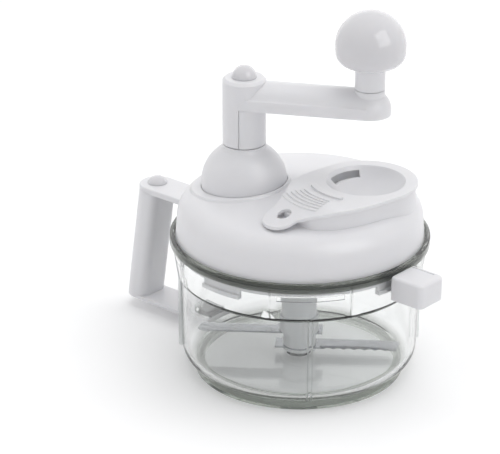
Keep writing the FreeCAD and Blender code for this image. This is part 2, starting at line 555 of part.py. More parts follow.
def pinion():
    """Small gear at the lid's centre, with a top journal and a six-sided drive below."""
    low, tall = value("gear_low"), value("gear_tall")
    teeth = int(value("pinion_teeth"))
    gear = prism(gear_points(teeth, 180.0 / teeth), low, low + tall)
    top = Part.makeCylinder(value("top_journal"), value("journal_top") - low - tall, Vector(0, 0, low + tall))
    cover_top = value("cover_low") + value("cover_thick")
    flange_top = cover_top + value("bush_flange")
    journal = Part.makeCylinder(value("journal_radius"), low - value("cover_low") + 1.5,
                                Vector(0, 0, value("cover_low") - 1.5))
    radius = value("hex_flats") / math.sqrt(3)
    corners = [(radius * math.cos(math.radians(60 * i)), radius * math.sin(math.radians(60 * i))) for i in range(6)]
    drive = prism(corners, value("hex_low"), value("cover_low") - 1)
    nose = Part.makeCone(radius - 2.2, radius + 0.1, 2.3, Vector(0, 0, value("hex_low")))
    nose = nose.fuse(Part.makeCylinder(radius + 0.1, 60, Vector(0, 0, value("hex_low") + 2.3)))
    drive = drive.common(nose)
    shape = gear.fuse([top, journal, drive]).removeSplitter()
    shoulder = Part.makeCylinder(value("journal_radius") + 1.6, low - flange_top - 0.2,
                                 Vector(0, 0, flange_top + 0.2))
    shape = shape.fuse(shoulder).removeSplitter()
    node(made("pinion", shape), "pinion", lid=True)


def crank_shaft():
    """Steel shaft from the gear cover up to the crank's head, with a flat at each end."""
    x = -value(axis_x())
    low, top = value("shaft_low"), value("shaft_top")
    radius, flat = value("shaft_radius"), value("shaft_flat")
    shaft = Part.makeCylinder(radius, top - low, Vector(x, 0, low))
    gear_low, gear_tall = value("gear_low"), value("gear_tall")
    for start, end in ((gear_low - 0.6, gear_low + gear_tall + 0.6), (value("post_low") - 0.3, top + 1)):
        shaft = shaft.cut(Part.makeBox(10, 20, end - start, Vector(x + flat, -10, start)))
    groove_low = value("cover_low") - 2.2
    groove = Part.makeCylinder(radius + 1, 1.0, Vector(x, 0, groove_low))
    shaft = shaft.cut(groove.cut(Part.makeCylinder(radius - 0.8, 1.0, Vector(x, 0, groove_low))))
    shaft = shaft.cut(Part.makeCylinder(value("screw_radius"), top - value("crank_screw_low"),
                                        Vector(x, 0, value("crank_screw_low"))))
    node(made("crank_shaft", shaft), "crank_shaft", lid=True)
    clip = Part.makeCylinder(radius + 3, 0.9, Vector(x, 0, groove_low + 0.05))
    clip = clip.cut(Part.makeCylinder(radius - 0.75, 1, Vector(x, 0, groove_low)))
    clip = clip.cut(Part.makeBox(10, 3.2, 2, Vector(x, -1.6, groove_low - 0.5)))
    node(made("shaft_clip", clip), "shaft_clip", lid=True)


# ---------------------------------------------------------------- lid side

def teardrop(inset, low, high):
    """Plan of the separator and of its seat: a round end, full sides, and a tab drawn in round its hole."""
    radius, tip = value("flange_radius") - inset, value("tab_radius") - inset
    end = value("tab_distance")

    def side(sign, start, shares):
        knots = [Vector(radius * start, sign * radius, 0)]
        knots += [Vector(end + back, sign * (tip + (radius - tip) * share), 0) for back, share in shares]
        curve = Part.BSplineCurve()
        curve.interpolate(knots, InitialTangent=Vector(1, 0, 0), FinalTangent=Vector(1, -0.1 * sign, 0))
        return knots, curve.toShape()

    near, near_curve = side(1, 0.54, [(-30.5, 0.89), (-19.5, 0.735), (-11.5, 0.51), (-6.5, 0.29), (-2, 0.1),
                                      (2.5, 0)])
    far, far_curve = side(-1, 0.33, [(-37.5, 0.85), (-28.5, 0.675), (-20.5, 0.405), (-13.5, 0.215), (-7.5, 0.1),
                                     (2.5, 0)])
    edges = [Part.Arc(Vector(0, radius, 0), Vector(-radius, 0, 0), Vector(0, -radius, 0)).toShape(),
             Part.makeLine(Vector(0, -radius, 0), far[0]), far_curve,
             Part.Arc(far[-1], Vector(end + 2.5 + tip, 0, 0), near[-1]).toShape(),
             near_curve, Part.makeLine(near[0], Vector(0, radius, 0))]
    face = Part.Face(Part.Wire(Part.__sortEdges__(edges)))
    solid = face.extrude(Vector(0, 0, high - low))
    solid.translate(Vector(0, 0, low))
    return solid


def seat_limit(inset):
    """Everything on the cup's side of the seat's curved end wall."""
    low, tall = value("plug_low") - 40, value("seat_top") - value("plug_low") + 70
    curve, end = value("seat_curve"), value("seat_end")
    round_end = Part.makeCylinder(curve - inset, tall, Vector(end - curve, 0, low))
    rest = Part.makeBox(end - 20 + 80, 2 * curve, tall, Vector(-80, -curve, low))
    return round_end.fuse(rest)


def ramp_slab(low_shift, high_shift):
    """The space between two copies of the separator's long profile: level, then a ramp down."""
    top, tab = value("seat_top"), value("tab_top") - value("plate_thick")
    start, finish, wide = value("ramp_start"), value("ramp_end"), value("flange_radius") + 25
    near, far = -value("flange_radius") - 25, value("tab_distance") + value("tab_radius") + 27

    def line(shift):
        knots = [Vector(near, 0, top + shift), Vector(start, 0, top + shift)]
        steps = 6
        for i in range(1, steps + 1):
            part = i / float(steps)
            drop = 0.5 - 0.5 * math.cos(math.pi * part)
            knots.append(Vector(start + (finish - start) * part, 0, top + shift + (tab - top) * drop))
        return knots + [Vector(far, 0, tab + shift)]

    upper = line(high_shift)
    if low_shift is None:
        lower = [Vector(near, 0, value("plug_low") - 32), Vector(far, 0, value("plug_low") - 32)]
    else:
        lower = line(low_shift)

    def rail(points):
        if len(points) == 2:
            return [Part.makeLine(points[0], points[1])]
        ramp = Part.BSplineCurve()
        ramp.interpolate(points[1:-1], InitialTangent=Vector(1, 0, 0), FinalTangent=Vector(1, 0, 0))
        return [Part.makeLine(points[0], points[1]), ramp.toShape(), Part.makeLine(points[-2], points[-1])]

    edges = rail(upper) + rail(lower)
    edges += [Part.makeLine(lower[0], upper[0]), Part.makeLine(lower[-1], upper[-1])]
    face = Part.Face(Part.Wire(Part.__sortEdges__(edges)))
    slab = face.extrude(Vector(0, 2 * wide, 0))
    slab.translate(Vector(0, -wide, 0))
    return slab


def to_seat(shape):
    """Moves a shape from the separator's own axes to its place on the lid."""
    shape = shape.copy()
    shape.rotate(Vector(0, 0, 0), Vector(0, 0, 1), value("tab_angle"))
    shape.translate(Vector(value("cup_x"), value("cup_y"), 0))
    return shape


def crown(shift, name):
    """Everything under the lid's crown, raised by shift."""
    return turned(name, [
        ("0", "plug_low - 40"), ("shoulder_radius", "plug_low - 40"),
        ("shoulder_radius", "shoulder_low + (%s)" % shift),
        ("crown_edge", "crown_edge_z + (%s)" % shift), ("1", "crown_top + (%s)" % shift),
        ("0", "crown_top + (%s)" % shift)],
        {2: ("shoulder_round", -1), 3: ("crown_curve", -1)})


def lid_shell():
    """Domed lid: skirt, plug with four bayonet lugs, gear chamber, dome seat, raised separator seat."""
    body = new_body("lid_turned")
    revolve(body, "lid_turning", [
        ("lid_radius - lid_thick", "lid_low"), ("lid_radius", "lid_low"),
        ("shoulder_radius", "shoulder_low"), ("crown_edge", "crown_edge_z"), ("1", "crown_top"),
        ("0", "crown_top"), ("0", "crown_top - lid_thick"), ("1", "crown_top - lid_thick"),
        ("crown_edge - 0.5", "crown_edge_z - lid_thick + 0.1"),
        ("shoulder_radius - lid_thick", "shoulder_low - 0.2")],
        {2: ("shoulder_round", -1), 3: ("crown_curve", -1), 7: ("crown_curve - lid_thick", 1),
         8: ("shoulder_round - lid_thick", 1)})
    plug = cut("plug", disc("plug_outer", "plug_radius", "plug_low", "lid_low + 2"),
               disc("plug_inner", "plug_radius - plug_thick", "plug_low - 1", "lid_low + 3"))
    web = cut("plug_web", disc("web_outer", "lid_radius - 0.5", "lid_low", "lid_low + 2.2"),
              disc("web_inner", "plug_radius - plug_thick", "lid_low - 1", "lid_low + 3"))
    ring = cut("bayonet_ring",
               disc("bayonet_outer", "bayonet_reach", "bayonet_low", "bayonet_low + bayonet_tall"),
               disc("bayonet_inner", "plug_radius - plug_thick", "0", "lid_low"))
    legs = cut("bayonet_legs", disc("leg_outer", "plug_radius", "bayonet_low", "plug_low + 1"),
               disc("leg_inner", "plug_radius - plug_thick", "0", "lid_low"))
    wedges = []
    for i in range(4):
        wedge = primitive("Cylinder", "bayonet_wedge_%d" % i, Radius="rim_radius", Height="rim_top",
                          Angle="2 * bayonet_half_angle")
        wedges.append(place(wedge, turn="%d - bayonet_half_angle - lid_turn" % (90 * i)))
    lugs = common("bayonet_lugs", join("bayonet_all", ring, legs), join("bayonet_wedges", *wedges))

    axis = "-(%s)" % axis_x()
    flare = primitive("Cone", "collar_flare", (axis, "0", "crown_top - 7.6"), Radius1="collar_radius",
                      Radius2="dome_radius + 1.4", Height="7.6 + collar_rise")
    collar = common("dome_collar", crown("collar_rise", "collar_crown"), flare)
    drive_room = "gear_module * (drive_teeth + 2) / 2 + gear_room"
    pinion_room = "gear_module * (pinion_teeth + 2) / 2 + gear_room"
    cover_top = "cover_low + cover_thick"
    walls = join("chamber_outer",
                 disc("chamber_a", drive_room + " + chamber_wall", cover_top, "crown_top", axis),
                 disc("chamber_b", pinion_room + " + chamber_wall", cover_top, "crown_top"))
    posts = [disc("post_%d" % i, "screw_post", cover_top, "crown_top", x, y)
             for i, (x, y) in enumerate(cover_spots())]
    inside = common("inner_parts", join("inner_solids", walls, *posts), crown("-1", "inner_crown"))

    tall = value("seat_top")
    raised = teardrop(value("seat_inset"), value("lid_low"), tall + 20).common(ramp_slab(None, 0.0))
    raised = raised.common(seat_limit(0.0))
    hollow = teardrop(value("seat_inset") + value("seat_wall"), value("plug_low"), tall + 20)
    hollow = hollow.common(ramp_slab(None, -value("seat_wall"))).common(seat_limit(value("seat_wall")))
    under = crown_shape(-value("lid_thick") / 2)
    raised_skin = to_seat(raised).cut(under)
    hollow_all = to_seat(hollow)
    chute_low = value("ceiling_low + ceiling_thick + 1.7")
    chute = Part.makeCylinder(value("cup_radius + cup_wall + drop_gap + 2.2"), tall - chute_low,
                              Vector(value("cup_x"), value("cup_y"), chute_low))
    seat = made("seat_block", raised_skin)
    seat_hollow = made("seat_hollow", hollow_all.cut(chute))
    tube = made("chute_tube", chute)

    shell = join("lid_with_collar", body, plug, web, lugs, collar, inside, seat)
    shell = cut("lid_hollowed", shell, seat_hollow_trim(seat_hollow))
    shell = join("lid_with_tube", shell, tube)
    dome_room = disc("dome_room", "dome_radius + seat_gap", "ceiling_low + ceiling_thick", "crown_top + 20", axis)
    loft = cut("pinion_loft", common("pinion_loft_form", disc("pinion_loft_disc", pinion_room, "ceiling_low - 1",
                                                                 "crown_top"), crown("-lid_thick", "loft_crown")),
               disc("journal_boss", "top_journal + 3.5", "cover_low", "crown_top + 1"),
               disc("chute_keep", "cup_radius + cup_wall + drop_gap + 2.2", "cover_low", "crown_top + 1",
                    "cup_x", "cup_y"),
               disc("dome_seat_wall", "dome_radius + seat_gap + 2.4", "cover_low", "crown_top + 1", axis))
    rooms = [loft, disc("drive_chamber", drive_room, "cover_low", "ceiling_low", axis),
             disc("pinion_chamber", pinion_room, "cover_low", "ceiling_low"),
             disc("shaft_pass", "shaft_radius + 1", "cover_low", "crown_top", axis),
             disc("journal_pass", "top_journal + run_gap", "cover_low", "journal_top + 0.5"),
             dome_room,
             disc("cup_well", "cup_radius + cup_wall + drop_gap", "ceiling_low + ceiling_thick + 0.4",
                  "crown_top + 30", "cup_x", "cup_y")]
    for i, (x, y) in enumerate(cover_spots()):
        rooms.append(disc("cover_hole_%d" % i, "screw_radius", "cover_low", "cover_low + 13", x, y))
    for i, (x, y) in enumerate(dome_spots()):
        rooms.append(disc("dome_hole_%d" % i, "screw_radius + 0.1", "ceiling_low - 1", "crown_top", x, y))
        rooms.append(disc("dome_sink_%d" % i, "screw_head + 0.2", "cover_low", "ceiling_low + 0.9", x, y))
    node(cut("lid_cut", shell, *rooms), "lid_shell", lid=True)


def seat_hollow_trim(hollow):
    """Keeps the hollow under the raised seat clear of the gear chamber's walls."""
    axis = "-(%s)" % axis_x()
    keep = join("hollow_keep",
                disc("keep_a", "gear_module * (drive_teeth + 2) / 2 + gear_room + chamber_wall",
                     "cover_low", "ceiling_low + ceiling_thick", axis),
                disc("keep_b", "gear_module * (pinion_teeth + 2) / 2 + gear_room + chamber_wall",
                     "cover_low", "ceiling_low + ceiling_thick"),
                disc("keep_c", "lid_radius + 5", "plug_low - 40", "lid_low + 3"))
    dome = disc("keep_dome", "dome_radius + seat_gap + 2.2", "cover_low", "crown_top + 20", axis)
    return cut("hollow_trimmed", hollow, keep, dome, rim_keep())


def rim_keep():
    """The lid's own skirt, which the hollow under the seat must not cut away."""
    low, tall = value("plug_low") - 32, value("seat_top") - value("plug_low") + 40
    ring = Part.makeCylinder(value("lid_radius") + 30, tall, Vector(0, 0, low))
    ring = ring.cut(Part.makeCylinder(value("shoulder_radius - lid_thick - 1.2"), tall + 2, Vector(0, 0, low - 1)))
    return made("skirt_keep", ring)


def crown_shape(shift):
    """The crown as a plain solid, for trimming."""
    edge, curve = value("crown_edge"), value("crown_curve")
    top = Vector(0, 0, value("crown_top") + shift)
    last = Vector(edge, 0, value("crown_edge_z") + shift)
    along = (last - top).normalize()
    sag = curve - math.sqrt(curve ** 2 - ((last - top).Length / 2) ** 2)
    middle = (top + last) * 0.5 + Vector(-along.z, 0, along.x) * sag
    out = Vector(value("shoulder_radius") - value("lid_thick"), 0, last.z - 10)
    low = value("plug_low") - 32
    points = [last, out, Vector(out.x, 0, low), Vector(0, 0, low), top]
    edges = [Part.Arc(top, middle, last).toShape()] + [Part.makeLine(points[i], points[i + 1]) for i in range(4)]
    return Part.Face(Part.Wire(edges)).revolve(Vector(0, 0, 0), Vector(0, 0, 1), 360)


def cover_spots():
    """Places of the gear cover's screws in the lid's frame."""
    axis = "(%s)" % axis_x()
    far = "(gear_module * (drive_teeth + 2) / 2 + gear_room + chamber_wall + 1.6)"
    near = "(gear_module * (pinion_teeth + 2) / 2 + gear_room + chamber_wall + 1.4)"
    return [("-%s - %s" % (axis, far), "0"), ("-%s" % axis, far), ("-%s" % axis, "-" + far),
            ("%s * cos(60)" % near, "%s * sin(60)" % near), ("%s * cos(60)" % near, "-%s * sin(60)" % near)]


def dome_spots():
    """Places of the three screws that hold the bearing dome."""
    spots = []
    for angle in (60, 180, 300):
        spots.append(("-(%s) + (dome_radius - dome_screw_inset) * cos(%d)" % (axis_x(), angle),
                      "(dome_radius - dome_screw_inset) * sin(%d)" % angle))
    return spots


def gear_cover():
    """Flat cover that closes the gear chamber and carries the two lower bushes."""
    x = -value(axis_x())
    low, thick = value("cover_low"), value("cover_thick")
    big = value("gear_module") * (value("drive_teeth") + 2) / 2 + value("gear_room") + value("chamber_wall")
    small = value("gear_module") * (value("pinion_teeth") + 2) / 2 + value("gear_room") + value("chamber_wall")
    plate = Part.makeCylinder(big, thick, Vector(x, 0, low)).fuse(Part.makeCylinder(small, thick, Vector(0, 0, low)))
    shank = value("screw_radius")
    spots = [(value(a), value(b)) for a, b in cover_spots()]
    for sx, sy in spots:
        plate = plate.fuse(Part.makeCylinder(value("screw_post") + 0.6, thick, Vector(sx, sy, low)))
    for sx, sy in spots:
        plate = plate.cut(Part.makeCylinder(shank + 0.1, thick + 2, Vector(sx, sy, low - 1)))
    wall, gap = value("bush_wall"), value("slip_gap")
    plate = plate.cut(Part.makeCylinder(value("shaft_radius") + wall + gap, thick + 2, Vector(x, 0, low - 1)))
    plate = plate.cut(Part.makeCylinder(value("journal_radius") + wall + gap, thick + 2, Vector(0, 0, low - 1)))
    node(made("gear_cover", plate.removeSplitter()), "gear_cover", lid=True)
    tall = value("screw_head_tall")
    screws = [screw_at(sx, sy, low - tall, low + thick + 10) for sx, sy in spots]
    node(made("cover_screws", Part.makeCompound(screws)), "cover_screws", lid=True)


def flanged_bush(name, x, bore, low, high, flange_low, flange_high):
    """A plain bush with a flange, bored to run on its shaft."""
    wall, gap = value("bush_wall"), value("run_gap")
    shape = Part.makeCylinder(bore + wall, high - low, Vector(x, 0, low))
    shape = shape.fuse(Part.makeCylinder(bore + wall + 1.8, flange_high - flange_low, Vector(x, 0, flange_low)))
    shape = shape.cut(Part.makeCylinder(bore + gap, high - low + 4, Vector(x, 0, low - 2))).removeSplitter()
    node(made(name, shape), name, lid=True)


def bushes():
    """Upper bush in the dome's neck, lower bush and pinion bush in the gear cover."""
    x, low, thick = -value(axis_x()), value("cover_low"), value("cover_thick")
    flange = value("bush_flange")
    top = value("dome_top")
    flanged_bush("upper_bush", x, value("shaft_radius"), top - 16, top - 0.2, top - 16, top - 14)
    flanged_bush("lower_bush", x, value("shaft_radius"), low, low + thick + flange - 0.4, low + thick,
                 low + thick + flange - 0.4)
    flanged_bush("pinion_bush", 0, value("journal_radius"), low, low + thick + flange, low + thick,
                 low + thick + flange)


def bearing_dome():
    """Hollow dome that carries the crank: a round shell, a neck tube and three screw posts."""
    body = new_body("dome_turned")
    revolve(body, "dome_turning", [
        ("dome_radius - dome_thick", "dome_low"), ("dome_radius", "dome_low"),
        ("dome_radius", "dome_shoulder"), ("dome_neck + 0.9", "dome_neck_z - 0.3"),
        ("dome_neck - 0.2", "dome_neck_z + 1.4"), ("dome_neck - 0.2", "dome_top"),
        ("shaft_radius + bush_wall + slip_gap", "dome_top"),
        ("shaft_radius + bush_wall + slip_gap", "dome_top - 14"), ("dome_tube", "dome_top - 14"),
        ("dome_tube", "dome_neck_z - 1.8"), ("dome_neck - 1", "dome_neck_z - 1.8"),
        ("dome_radius - dome_thick", "dome_shoulder")],
        {2: ("dome_curve + 0.8", -1), 10: ("dome_curve - 1", 1)})
    place(body, ("-(%s)" % axis_x(), "0", "0"))
    posts = [disc("dome_post_%d" % i, "screw_post", "dome_low", "dome_shoulder + 12", x, y)
             for i, (x, y) in enumerate(dome_spots())]
    limit = turned("dome_limit", [
        ("0", "dome_low"), ("dome_radius - 1", "dome_low"), ("dome_radius - 1", "dome_shoulder"),
        ("dome_neck", "dome_neck_z - 1"), ("0", "dome_neck_z - 1")], {2: ("dome_curve", -1)})
    place(limit, ("-(%s)" % axis_x(), "0", "0"))
    whole = join("dome_whole", body, common("dome_posts", join("dome_post_set", *posts), limit))
    holes = [disc("dome_screw_hole_%d" % i, "screw_radius", "dome_low - 1", "dome_low + 9", x, y)
             for i, (x, y) in enumerate(dome_spots())]
    node(cut("dome_cut", whole, *holes), "bearing_dome", lid=True)
    low = value("ceiling_low") + 0.9 - value("screw_head_tall")
    screws = [screw_at(value(x), value(y), low, value("dome_low") + 8.5) for x, y in dome_spots()]
    node(made("dome_screws", Part.makeCompound(screws)), "dome_screws", lid=True)


# ---------------------------------------------------------------- crank and knob

def crank_post():
    """Round post on the shaft; its far side is cut back for the arm's half shell."""
    x = -value(axis_x())
    low, high = value("post_low"), value("arm_low")
    full = Part.makeCylinder(value("post_radius"), high - low, Vector(x, 0, low))
    full = full.cut(Part.makeBox(40, 60, 80, Vector(x - 40 - value("shell_cut") + 0.2, -30, low - 10)))
    core = Part.makeCylinder(value("post_core"), value("socket_top") - 0.4 - low, Vector(x, 0, low))
    post = full.fuse(core).removeSplitter()
    post = post.cut(shaft_hole(low - 1, value("socket_top") + 1, x, value("slip_gap")))
    node(made("crank_post", post), "crank_post", lid=True)


def crank_arm():
    """Crank arm: head with a half shell down the post, barrel-topped arm and a boss for the knob."""
    x = -value(axis_x())
    low, top = value("arm_low"), value("head_top")
    half, side, crest = value("arm_half"), value("arm_side"), value("arm_crown")
    length = value("arm_length")
    left = Vector(0, -half, side)
    right = Vector(0, half, side)
    arch_mid = [Vector(0, half * math.cos(math.radians(a)), side + (crest - side) * math.sin(math.radians(a)))
                for a in range(0, 181, 20)]
    arch = Part.BSplineCurve()
    arch.interpolate(arch_mid, InitialTangent=Vector(0, 0, 1), FinalTangent=Vector(0, 0, -1))
    section = Part.Wire([Part.makeLine(Vector(0, -half, 0), Vector(0, half, 0)),
                         Part.makeLine(Vector(0, half, 0), right), arch.toShape(),
                         Part.makeLine(left, Vector(0, -half, 0))])
    bar = Part.Face(section).extrude(Vector(length, 0, 0))
    quarter = [Vector(half * math.cos(math.radians(a)), 0, side + (crest - side) * math.sin(math.radians(a)))
               for a in range(0, 91, 15)]
    curve = Part.BSplineCurve()
    curve.interpolate(quarter, InitialTangent=Vector(0, 0, 1), FinalTangent=Vector(-1, 0, 0))
    half_face = Part.Face(Part.Wire([Part.makeLine(Vector(0, 0, 0), Vector(half, 0, 0)),
                                     Part.makeLine(Vector(half, 0, 0), quarter[0]), curve.toShape(),
                                     Part.makeLine(quarter[-1], Vector(0, 0, 0))]))
    end = half_face.revolve(Vector(0, 0, 0), Vector(0, 0, 1), 360)
    end.translate(Vector(length, 0, 0))
    boss = Part.makeCylinder(value("stem_radius") + 0.1, value("knob_boss_top") - low, Vector(length, 0, 0))
    bar.translate(Vector(x, 0, low))
    end.translate(Vector(x, 0, low))
    boss.translate(Vector(x, 0, low))
    head = Part.makeCylinder(value("head_radius"), top - low, Vector(x, 0, low))
    rim = [e for e in head.Edges if e.BoundBox.ZMin > top - 1e-3]
    head = head.makeChamfer(value("head_chamfer"), rim)
    shell_low = value("post_low") + 0.2
    shell = Part.makeCylinder(value("head_radius"), low - shell_low, Vector(x, 0, shell_low))
    shell = shell.cut(Part.makeBox(60, 60, 80, Vector(x - value("shell_cut"), -30, shell_low - 5)))
    arm = bar.fuse([end, boss, head, shell]).removeSplitter()
    gap = value("slip_gap")
    arm = arm.cut(Part.makeCylinder(value("post_core") + gap, value("socket_top") - shell_low + 1,
                                    Vector(x, 0, shell_low - 1)))
    arm = arm.cut(Part.makeCylinder(value("screw_radius") + 0.4, 20, Vector(x, 0, value("socket_top") - 2)))
    arm = arm.cut(Part.makeCylinder(value("cap_seat"), 20, Vector(x, 0, value("counterbore_low"))))
    knob_x = x + length
    arm = arm.cut(Part.makeCylinder(value("spindle_radius") + gap, 60, Vector(knob_x, 0, low - 5)))
    arm = arm.cut(Part.makeCylinder(value("spindle_radius") + 2.6, 2.6 + 5, Vector(knob_x, 0, low - 5)))
    scoop = Part.makeBox(length - 40, 2 * half - 7, 9, Vector(x + 20, -half + 3.5, low - 1))
    arm = arm.cut(scoop.makeFillet(3, [e for e in scoop.Edges if e.BoundBox.ZLength > 8]))
    node(made("crank_arm", arm), "crank_arm", lid=True)


def crank_fixings():
    """Screw down the middle of the crank, and the domed cap over it."""
    x = -value(axis_x())
    low = value("counterbore_low")
    screw = screw_at(x, 0, low, value("crank_screw_low") + 1.2, head_up=True)
    node(made("crank_screw", screw), "crank_screw", lid=True)
    cap = turned("crank_cap_body", [
        ("0", "head_top - 4.6"), ("cap_seat - slip_gap", "head_top - 4.6"), ("cap_seat - slip_gap", "head_top"),
        ("cap_dome", "head_top"), ("0.5", "head_top + cap_dome"), ("0", "head_top + cap_dome")],
        {3: ("cap_dome", -1)})
    place(cap, ("-(%s)" % axis_x(), "0", "0"))
    node(place(join("crank_cap_set", cap)), "crank_cap", lid=True)


def knob():
    """Ball knob on a stem that turns on a steel spindle riveted in the arm."""
    at = ("-(%s) + arm_length" % axis_x(), "0", "0")
    stem = turned("stem_body", [
        ("spindle_radius + run_gap", "stem_low"), ("stem_radius", "stem_low"), ("stem_radius", "stem_shoulder"),
        ("spigot_radius", "stem_shoulder"), ("spigot_radius", "spigot_top"), ("0", "spigot_top"),
        ("0", "spindle_top + 0.4"), ("spindle_radius + run_gap", "spindle_top + 0.4")])
    place(stem, at)
    node(place(join("knob_stem_set", stem)), "knob_stem", lid=True)

    def skin(inset):
        up, down, centre = value("ball_radius") - inset, value("ball_under") - inset, value("ball_centre")
        edges = []
        top = [Vector(up * math.cos(math.radians(a)), 0, centre + up * math.sin(math.radians(a)))
               for a in (0, 45, 90)]
        edges.append(Part.Arc(*top).toShape())
        full = 2 / 3.2
        under = [Vector(up * math.cos(math.radians(a)) ** full, 0, centre - down * math.sin(math.radians(a)) ** full)
                 for a in range(0, 90, 15)] + [Vector(0, 0, centre - down)]
        curve = Part.BSplineCurve()
        curve.interpolate(under, InitialTangent=Vector(0, 0, -1), FinalTangent=Vector(-1, 0, 0))
        edges.append(curve.toShape())
        edges.append(Part.makeLine(under[-1], top[-1]))
        return Part.Face(Part.Wire(Part.__sortEdges__(edges))).revolve(Vector(0, 0, 0), Vector(0, 0, 1), 360)

    ball = skin(0).cut(skin(value("ball_thick")))
    low = value("stem_shoulder")
    sleeve = Part.makeCylinder(value("spigot_radius") + 2.4, value("spigot_top") + 3 - low, Vector(0, 0, low))
    ball = ball.fuse(sleeve.common(skin(0.5))).removeSplitter()
    ball = ball.cut(Part.makeCylinder(40, 20, Vector(0, 0, low - 20)))
    ball = ball.cut(Part.makeCylinder(value("spigot_radius") + value("slip_gap"), value("spigot_top") - low + 1.05,
                                      Vector(0, 0, low - 1)))
    node(join("knob_ball_set", place(made("knob_ball_form", ball), at)), "knob_ball", lid=True)

    low = value("arm_low")
    radius = value("spindle_radius")
    pin = Part.makeCylinder(radius, value("spindle_top") - low - 0.6, Vector(value(at[0]), 0, low + 0.6))
    head = Part.makeCylinder(radius + 2.4, 1.9, Vector(value(at[0]), 0, low + 0.7))
    node(made("knob_spindle", pin.fuse(head).removeSplitter()), "knob_spindle", lid=True)


# ---------------------------------------------------------------- blade unit

def hub_parts():
    """Hub: base with its tube, spacer between the blades, and the sleeve with its drive socket."""
    turn = "blade_angle"
    base = turned("hub_base_body", [
        ("pin_radius + run_gap", "hub_low"), ("hub_base_radius", "hub_low"), ("hub_base_radius", "low_blade_z"),
        ("hub_tube", "low_blade_z"), ("hub_tube", "pin_top_z + 4.4"), ("0", "pin_top_z + 4.4"),
        ("0", "pin_top_z + 1"), ("pin_radius + run_gap", "pin_top_z + 1")])
    node(place(base, turn=turn), "hub_base")
    spacer = turned("hub_spacer_body", [
        ("hub_tube + slip_gap", "low_blade_z + blade_thick"), ("spacer_radius", "low_blade_z + blade_thick"),
        ("spacer_radius", "high_blade_z"), ("hub_tube + slip_gap", "high_blade_z")])
    node(place(spacer, turn=turn), "hub_spacer")
    sleeve = turned("hub_sleeve_body", [
        ("hub_tube + slip_gap", "high_blade_z + blade_thick"), ("skirt_radius", "high_blade_z + blade_thick"),
        ("skirt_radius - 0.3", "skirt_height"), ("sleeve_radius", "skirt_height"),
        ("sleeve_radius - 0.2", "sleeve_top"), ("sleeve_bore", "sleeve_top"), ("sleeve_bore", "pin_top_z + 5"), ("hub_tube + slip_gap", "pin_top_z + 5")])
    socket = disc("socket_plug", "sleeve_bore + 0.5", "socket_low", "sleeve_top - 1.5")
    flats = value("hex_flats") + value("hex_slack")
    radius = flats / math.sqrt(3)
    corners = [(radius * math.cos(math.radians(60 * i)), radius * math.sin(math.radians(60 * i))) for i in range(6)]
    hexagon = made("socket_hexagon", prism(corners, 60, 100))
    place(hexagon, turn="lid_turn")
    hexagon = join("socket_hexagon_set", hexagon)
    place(hexagon, turn="-blade_angle")
    whole = cut("hub_sleeve_cut", join("hub_sleeve_whole", sleeve, socket), hexagon)
    node(place(whole, turn=turn), "hub_sleeve")


def blade(name, low, turn):
    """Flat steel blade with a round eye, a scalloped cutting edge and a raked tip."""
    reach, wide, thick = value("blade_reach"), value("blade_wide"), value("blade_thick")
    tail = value("blade_tail")
    low = value(low)
    half = wide / 2
    points = [(-tail, -half), (reach - 3.4, -half), (reach, half - 3), (reach - 4, half), (-tail, half)]
    shape = prism(points, low, low + thick)
    shape = shape.fuse(Part.makeCylinder(value("spacer_radius"), thick, Vector(0, 0, low)))
    pitch, bite = value("tooth_pitch"), value("tooth_bite")
    start = value("skirt_radius") + bite + 3
    count = int((reach - 6 - start) / pitch) + 1
    for i in range(count):
        centre = Vector(start + i * pitch, 1.5 - half - bite, low - 1)
        shape = shape.cut(Part.makeCylinder(bite, thick + 2, centre))
    bevel = Part.makeBox(reach, 6, 3, Vector(value("skirt_radius") + 1, -6, 0))
    bevel.rotate(Vector(0, 0, 0), Vector(1, 0, 0), 14)
    bevel.translate(Vector(0, 3.8 - half, low + thick))
    shape = shape.cut(bevel)
    shape = shape.cut(Part.makeCylinder(value("hub_tube") + value("slip_gap"), thick + 2, Vector(0, 0, low - 1)))
    node(made(name, shape.removeSplitter(), turn), name)


def blades():
    """Two blades on opposite sides of the hub, one low and one high."""
    blade("upper_blade", "high_blade_z", "blade_angle")
    blade("lower_blade", "low_blade_z", "blade_angle + 180")


# ---------------------------------------------------------------- separator

def arc_bar(inner, wide, half, rise):
    """A raised bar on the separator's plate, curved round the cup, with eased ends."""
    top, thick = value("seat_top"), value("plate_thick")
    bar = Part.makeCylinder(inner + wide, 60, Vector(0, 0, top - 40), Vector(0, 0, 1), 2 * half)
    bar = bar.cut(Part.makeCylinder(inner, 80, Vector(0, 0, top - 50)))
    bar.rotate(Vector(0, 0, 0), Vector(0, 0, 1), -half)
    bar = bar.makeFillet(wide * 0.45, [e for e in bar.Edges if e.BoundBox.ZLength > 50])
    return bar.common(ramp_slab(thick - 0.6, thick + rise))


